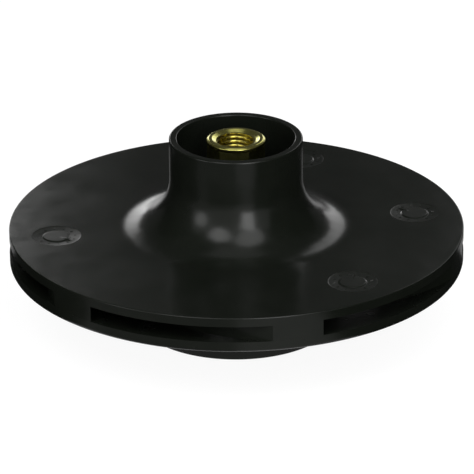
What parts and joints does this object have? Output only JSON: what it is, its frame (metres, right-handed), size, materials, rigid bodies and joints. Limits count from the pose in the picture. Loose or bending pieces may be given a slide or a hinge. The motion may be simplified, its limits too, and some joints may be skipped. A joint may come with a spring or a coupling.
{
  "type": "pump impeller",
  "caption": "Closed centrifugal impeller with backward-curved vanes, an eye ring below and a cupped neck around a threaded brass insert.",
  "frame": {"origin": "centre of the eye ring's foot, on which the impeller stands", "axes": "+Z along the shaft axis, from the eye towards the neck and the motor"},
  "size_m": [0.128, 0.128, 0.0557],
  "materials": {
    "black_moulding": "satin black glass-filled moulding, faintly mottled",
    "insert_brass": "turned brass, bright"
  },
  "bodies": {
    "root": {"vaned_back_shroud": "black_moulding", "front_shroud": "black_moulding", "threaded_insert": "insert_brass"}
  },
  "joints": []
}
